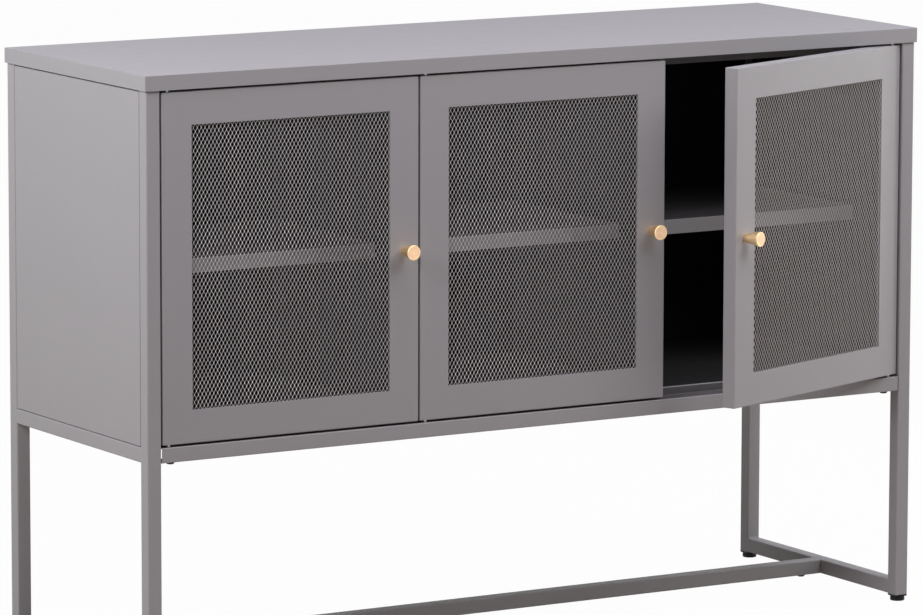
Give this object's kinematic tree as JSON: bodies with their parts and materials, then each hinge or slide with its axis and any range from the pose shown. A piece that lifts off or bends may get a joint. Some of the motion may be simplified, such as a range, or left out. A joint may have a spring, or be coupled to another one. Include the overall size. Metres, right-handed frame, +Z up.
{
  "type": "pie safe",
  "caption": "Grey steel sideboard on open square-tube legs, with hinged doors of expanded metal, small brass knobs and shelves inside; the right-hand door stands ajar",
  "frame": {"origin": "on the floor, under the middle of the cabinet between its four legs", "axes": "+X runs along the length to the viewer's right as the doors are faced, +Y runs to the back, +Z is up"},
  "size_m": [1.2, 0.5423, 0.8],
  "materials": {
    "grey_powder_coat": "satin powder coat",
    "dark_lining": "matt dark coat",
    "brass": "turned, satin",
    "black_plastic": "moulded",
    "black_steel": "blackened steel",
    "pale_nylon": "moulded nylon",
    "bright_zinc": "zinc plated"
  },
  "bodies": {
    "cabinet": {"left_front_leg": "grey_powder_coat", "left_rear_leg": "grey_powder_coat", "left_top_rail": "grey_powder_coat", "left_middle_rail": "grey_powder_coat", "left_floor_rail": "grey_powder_coat", "left_side_panel": "grey_powder_coat", "right_front_leg": "grey_powder_coat", "right_rear_leg": "grey_powder_coat", "right_top_rail": "grey_powder_coat", "right_middle_rail": "grey_powder_coat", "right_floor_rail": "grey_powder_coat", "right_side_panel": "grey_powder_coat", "stretcher_bar": "grey_powder_coat", "stretcher_spigots": "bright_zinc", "stretcher_bolts": "black_steel", "leg_end_caps": "black_plastic", "levelling_feet": "black_plastic", "hinge_bushes": "pale_nylon", "top_panel": "grey_powder_coat", "top_front_skirt": "grey_powder_coat", "top_rear_skirt": "grey_powder_coat", "top_side_skirts": "grey_powder_coat", "front_top_rail": "grey_powder_coat", "top_tabs": "grey_powder_coat", "top_studs": "bright_zinc", "top_nuts": "bright_zinc", "bottom_panel": "grey_powder_coat", "bottom_tabs": "grey_powder_coat", "bottom_bolts": "black_steel", "back_panel": "dark_lining", "back_panel_rivets": "bright_zinc", "partition_rivets": "bright_zinc", "left_partition": "dark_lining", "right_partition": "dark_lining", "left_shelf": "grey_powder_coat", "middle_shelf": "grey_powder_coat", "right_shelf": "grey_powder_coat", "shelf_bearers": "dark_lining", "bearer_rivets": "bright_zinc", "magnetic_catches": "black_plastic"},
    "left_door": {"left_door_panel": "grey_powder_coat", "left_door_mesh": "grey_powder_coat", "left_mesh_frame": "grey_powder_coat", "left_hinge_pins": "bright_zinc", "left_knob": "brass", "left_knob_screw": "bright_zinc"},
    "middle_door": {"middle_door_panel": "grey_powder_coat", "middle_door_mesh": "grey_powder_coat", "middle_mesh_frame": "grey_powder_coat", "middle_hinge_pins": "bright_zinc", "middle_knob": "brass", "middle_knob_screw": "bright_zinc"},
    "right_door": {"right_door_panel": "grey_powder_coat", "right_door_mesh": "grey_powder_coat", "right_mesh_frame": "grey_powder_coat", "right_hinge_pins": "bright_zinc", "right_knob": "brass", "right_knob_screw": "bright_zinc"}
  },
  "joints": [
    {"name": "left_door_swing", "type": "hinge", "parent": "cabinet", "child": "left_door", "pos_m": [-0.564, -0.1885, 0.5485], "axis": [0, 0, -1], "range_deg": [0, 110]},
    {"name": "middle_door_swing", "type": "hinge", "parent": "cabinet", "child": "middle_door", "pos_m": [-0.17983, -0.1885, 0.5485], "axis": [0, 0, -1], "range_deg": [0, 110]},
    {"name": "right_door_swing", "type": "hinge", "parent": "cabinet", "child": "right_door", "pos_m": [0.564, -0.1885, 0.5485], "axis": [0, 0, 1], "range_deg": [-20.6, 89.4]}
  ]
}
